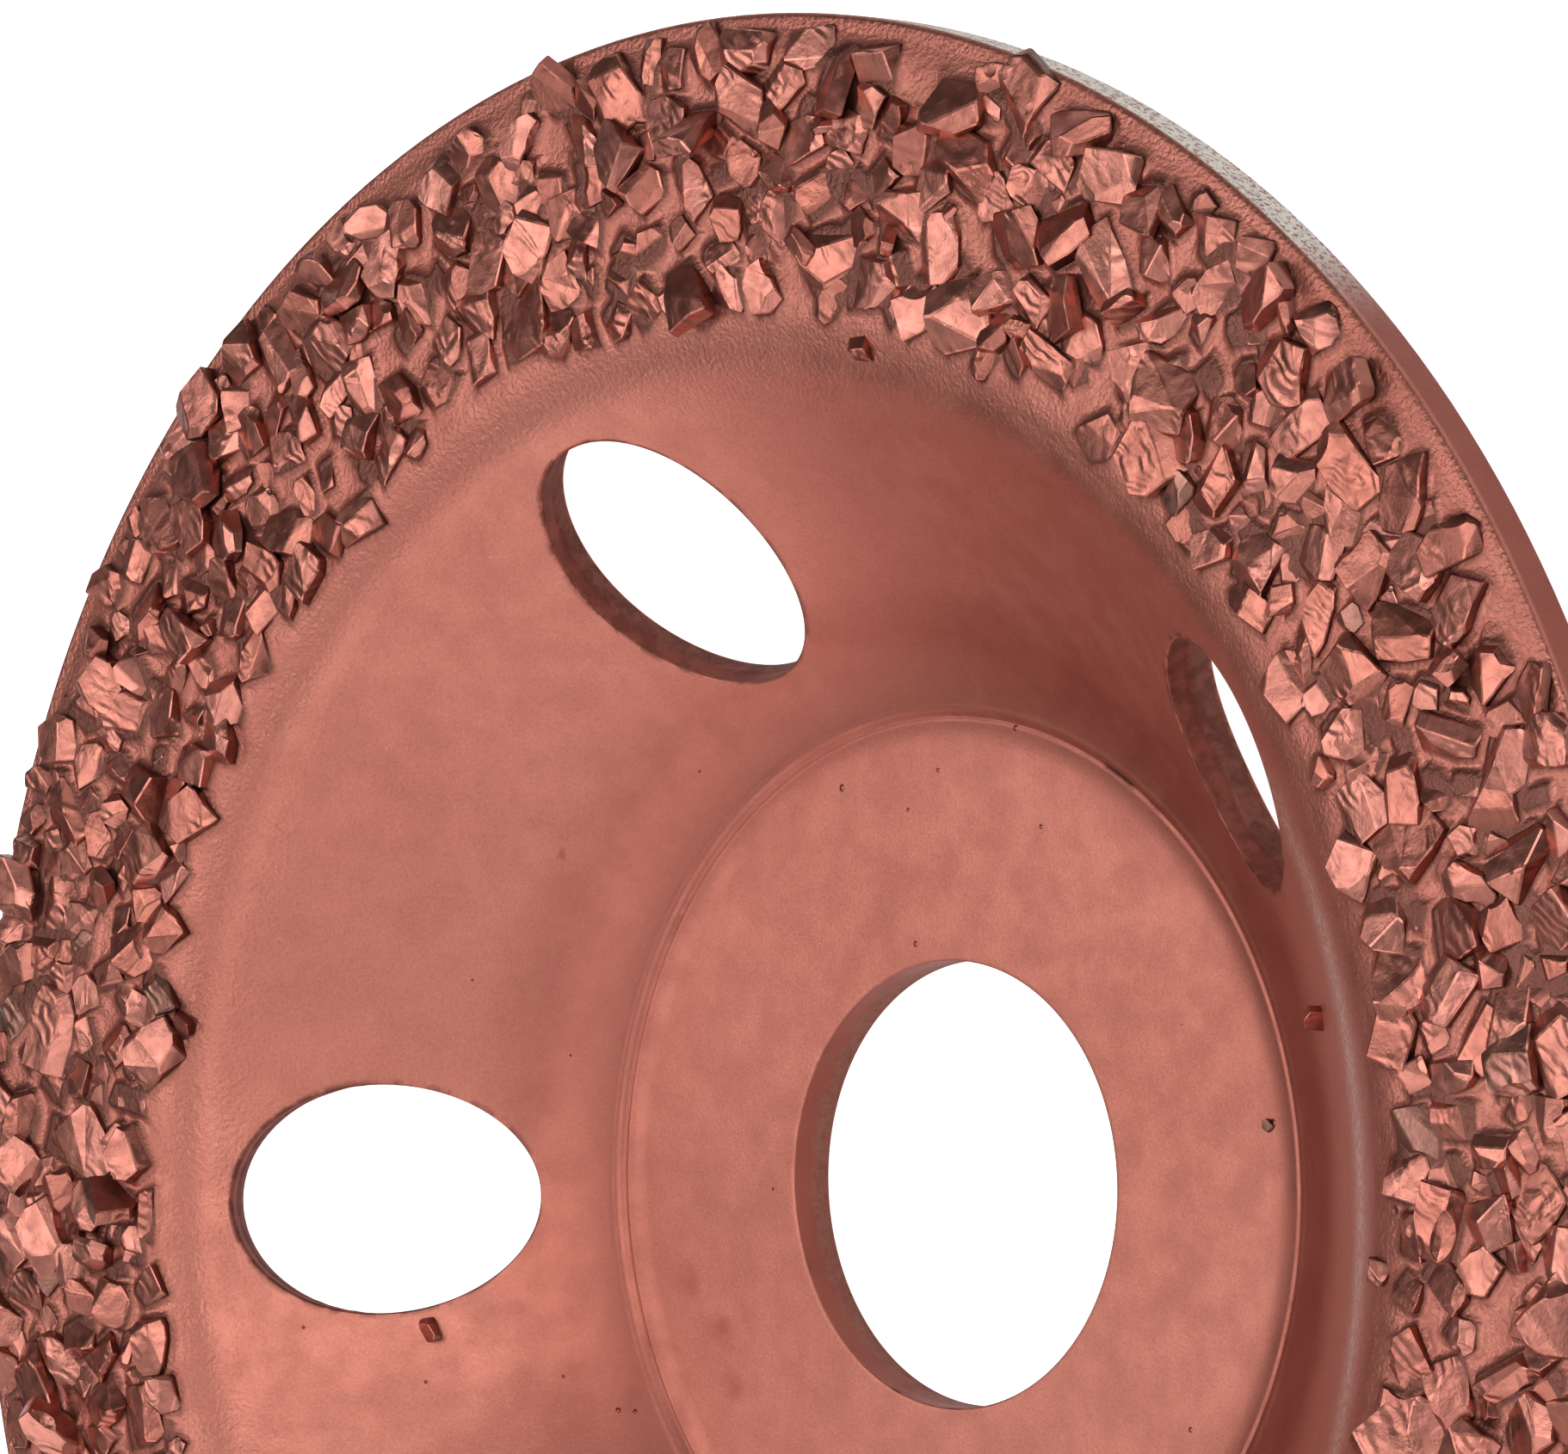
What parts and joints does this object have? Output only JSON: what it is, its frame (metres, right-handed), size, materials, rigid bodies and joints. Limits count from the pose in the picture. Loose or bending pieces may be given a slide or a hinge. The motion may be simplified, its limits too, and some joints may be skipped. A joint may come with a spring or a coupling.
{
  "type": "angle grinder carving disc",
  "caption": "Dished round steel carving disc with a central spindle bore, round vents through its sloping wall and a flat rim coated in coarse brazed grit.",
  "frame": {"origin": "centre of the hub's back face, which is the lowest face of the part and the one that the grinder's backing flange presses on", "axes": "+Z along the spindle axis, out of the cup on the grit side; -X points to the middle of one vent"},
  "size_m": [0.1142, 0.1142, 0.0203],
  "materials": {
    "painted_cup": "satin copper-brown metallic enamel over pressed steel, slightly orange-peeled, raw-edged at the punched holes",
    "painted_grit": "the same enamel over brazed crushed carbide: bright angular facets, dark crevices"
  },
  "bodies": {
    "root": {"steel_cup": "painted_cup", "grit_sector_01": "painted_grit", "grit_sector_02": "painted_grit", "grit_sector_03": "painted_grit", "grit_sector_04": "painted_grit", "grit_sector_05": "painted_grit", "grit_sector_06": "painted_grit", "grit_sector_07": "painted_grit", "grit_sector_08": "painted_grit", "grit_sector_09": "painted_grit", "grit_sector_10": "painted_grit", "grit_sector_11": "painted_grit", "grit_sector_12": "painted_grit", "grit_sector_13": "painted_grit", "grit_sector_14": "painted_grit", "grit_sector_15": "painted_grit", "grit_sector_16": "painted_grit", "grit_sector_17": "painted_grit", "grit_sector_18": "painted_grit", "grit_sector_19": "painted_grit", "grit_sector_20": "painted_grit", "grit_sector_21": "painted_grit", "grit_sector_22": "painted_grit", "grit_sector_23": "painted_grit", "grit_sector_24": "painted_grit", "grit_sector_25": "painted_grit", "grit_sector_26": "painted_grit", "grit_sector_27": "painted_grit", "grit_sector_28": "painted_grit", "grit_sector_29": "painted_grit", "grit_sector_30": "painted_grit", "grit_sector_31": "painted_grit", "grit_sector_32": "painted_grit", "grit_sector_33": "painted_grit", "grit_sector_34": "painted_grit", "grit_sector_35": "painted_grit", "grit_sector_36": "painted_grit", "stray_grain_vent": "painted_grit", "stray_grain_wall": "painted_grit", "stray_grain_hub": "painted_grit", "stray_grain_knee_1": "painted_grit", "stray_grain_knee_2": "painted_grit", "stray_grain_knee_3": "painted_grit"}
  },
  "joints": []
}
